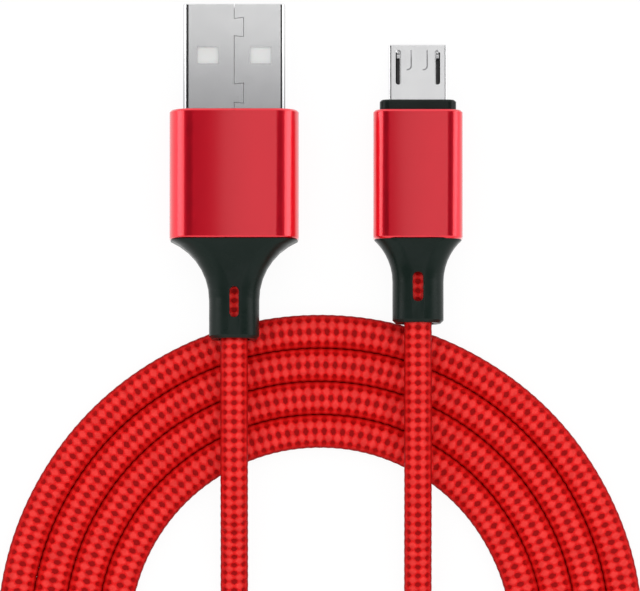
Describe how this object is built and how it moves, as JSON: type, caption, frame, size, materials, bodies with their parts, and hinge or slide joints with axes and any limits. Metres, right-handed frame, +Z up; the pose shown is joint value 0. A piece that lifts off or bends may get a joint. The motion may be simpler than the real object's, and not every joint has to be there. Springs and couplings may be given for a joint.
{
  "type": "charging cable",
  "caption": "Braided charging cable coiled flat, with a wide charger plug and a small phone plug in aluminium sleeves with rubber strain reliefs.",
  "frame": {"origin": "on the table, midway across the two plugs and midway along the charger plug", "axes": "+Y from the coil towards the plugs' mouths, +Z up from the table, +X from the charger plug to the phone plug"},
  "size_m": [0.0752, 0.1118, 0.009],
  "materials": {
    "plated_steel": "satin",
    "spring_steel": "satin",
    "gilt_contact": "polished",
    "white_plastic": "satin",
    "black_plastic": "satin",
    "red_aluminium": "satin",
    "charcoal_rubber": "satin",
    "red_braid": "woven",
    "red_insulation": "gloss",
    "white_insulation": "gloss",
    "green_insulation": "gloss",
    "black_insulation": "gloss"
  },
  "bodies": {
    "cable": {"charger_plug_shell": "plated_steel", "charger_plug_insulator": "white_plastic", "charger_plug_contact_power": "gilt_contact", "charger_plug_contact_data_minus": "gilt_contact", "charger_plug_contact_data_plus": "gilt_contact", "charger_plug_contact_ground": "gilt_contact", "charger_plug_inner_mould": "black_plastic", "charger_plug_wire_power": "red_insulation", "charger_plug_wire_data_minus": "white_insulation", "charger_plug_wire_data_plus": "green_insulation", "charger_plug_wire_ground": "black_insulation", "charger_plug_housing": "red_aluminium", "charger_plug_strain_relief": "charcoal_rubber", "charger_lead": "red_braid", "cable_coil": "red_braid", "phone_lead": "red_braid", "phone_plug_strain_relief": "charcoal_rubber", "phone_plug_housing": "red_aluminium", "phone_plug_inner_mould": "black_plastic", "phone_plug_wire_power": "red_insulation", "phone_plug_wire_data_minus": "white_insulation", "phone_plug_wire_data_plus": "green_insulation", "phone_plug_wire_ground": "black_insulation", "phone_plug_insulator": "black_plastic", "phone_plug_shell": "plated_steel"},
    "contact_springs": {"phone_plug_contact_power": "gilt_contact", "phone_plug_contact_data_minus": "gilt_contact", "phone_plug_contact_data_plus": "gilt_contact", "phone_plug_contact_identity": "gilt_contact", "phone_plug_contact_ground": "gilt_contact"},
    "latch_left": {"phone_plug_latch_left": "spring_steel"},
    "latch_right": {"phone_plug_latch_right": "spring_steel"}
  },
  "joints": [
    {"name": "latch_left_press", "type": "hinge", "parent": "cable", "child": "latch_left", "pos_m": [0.00966, 0.00839, 0.00341], "axis": [-1, 0, 0], "range_deg": [0, 4], "stiffness_Nm_per_rad": 0.1},
    {"name": "latch_right_press", "type": "hinge", "parent": "cable", "child": "latch_right", "pos_m": [0.01426, 0.00839, 0.00341], "axis": [-1, 0, 0], "range_deg": [0, 4], "stiffness_Nm_per_rad": 0.1},
    {"name": "contact_springs_press", "type": "hinge", "parent": "cable", "child": "contact_springs", "pos_m": [0.01196, 0.00156, 0.00336], "axis": [-1, 0, 0], "range_deg": [0, 0.7], "stiffness_Nm_per_rad": 1.8}
  ]
}
